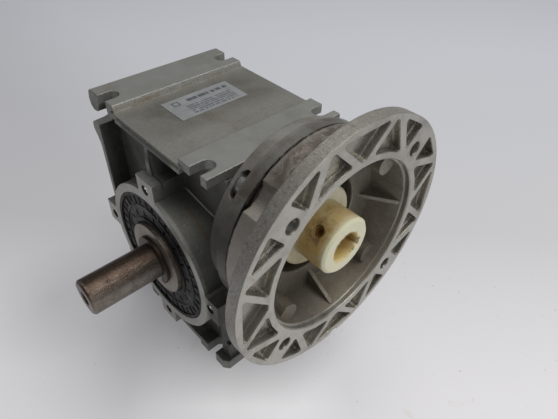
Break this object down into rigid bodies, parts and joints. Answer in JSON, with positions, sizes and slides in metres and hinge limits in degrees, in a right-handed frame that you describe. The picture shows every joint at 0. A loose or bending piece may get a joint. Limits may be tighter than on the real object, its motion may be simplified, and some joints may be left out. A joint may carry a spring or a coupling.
{
  "type": "worm_gearbox",
  "caption": "Right-angle worm gearbox: cast housing with slotted foot rails, plug-in output shaft, and a ribbed round motor flange around a plastic shaft coupling.",
  "frame": {"origin": "Centre of the near output face, on the output axis.", "axes": "Output axis along Y with the shaft towards -Y, motor flange towards +X, top rails towards +Z."},
  "size_m": [0.1923, 0.1935, 0.229],
  "materials": {
    "cast_aluminium": "sand-cast, dulled and stained",
    "black_seal": "matt black moulded rubber",
    "steel": "oiled turned steel",
    "ground_steel": "ground steel with a thin bloom of rust",
    "oxidised_steel": "dark oxidised steel with worn glints",
    "zinc_steel": "dull zinc plating",
    "bronze": "machined bronze",
    "nylon": "aged cream polyamide",
    "gasket": "compressed fibre",
    "label_foil": "satin foil with plain ruled lines"
  },
  "bodies": {
    "root": {"housing": "cast_aluminium", "bearing_carrier": "cast_aluminium", "end_caps": "black_seal", "output_bearing_outer": "steel", "worm_bearing_outer": "steel", "bearing_circlips": "oxidised_steel", "input_seal": "black_seal", "rear_cap": "black_seal", "adapter_gasket": "gasket", "motor_adapter": "cast_aluminium", "adapter_bolts": "zinc_steel", "adapter_washers": "zinc_steel", "label": "label_foil"},
    "output": {"hollow_shaft": "ground_steel", "wheel_hub": "steel", "worm_wheel": "bronze", "wheel_key": "steel", "output_shaft": "oxidised_steel", "output_key": "steel", "shaft_circlips": "oxidised_steel", "output_bearing_inner": "steel"},
    "output_balls_body": {"output_balls": "steel", "output_cages": "bronze"},
    "worm": {"worm_shaft": "steel", "worm_bearing_inner": "steel", "coupling_driver": "steel", "driver_key": "steel", "coupling": "nylon", "coupling_set_screw": "oxidised_steel"},
    "worm_balls_body": {"worm_balls": "steel", "worm_cages": "bronze"}
  },
  "joints": [
    {"name": "output_spin", "type": "hinge", "parent": "root", "child": "output", "pos_m": [0, 0, 0], "axis": [0, 1, 0], "continuous": true},
    {"name": "worm_spin", "type": "hinge", "parent": "root", "child": "worm", "pos_m": [0.05, 0.06, 0.054], "axis": [1, 0, 0], "continuous": true},
    {"name": "output_cage_spin", "type": "hinge", "parent": "root", "child": "output_balls_body", "pos_m": [0, 0.017, 0], "axis": [0, 1, 0], "continuous": true},
    {"name": "worm_cage_spin", "type": "hinge", "parent": "root", "child": "worm_balls_body", "pos_m": [0.05, 0.06, 0.054], "axis": [1, 0, 0], "continuous": true}
  ],
  "couplings": [
    {"joint": "worm_spin", "follows": "output_spin", "ratio": -20},
    {"joint": "output_cage_spin", "follows": "output_spin", "ratio": 0.424},
    {"joint": "worm_cage_spin", "follows": "output_spin", "ratio": -7.875}
  ]
}
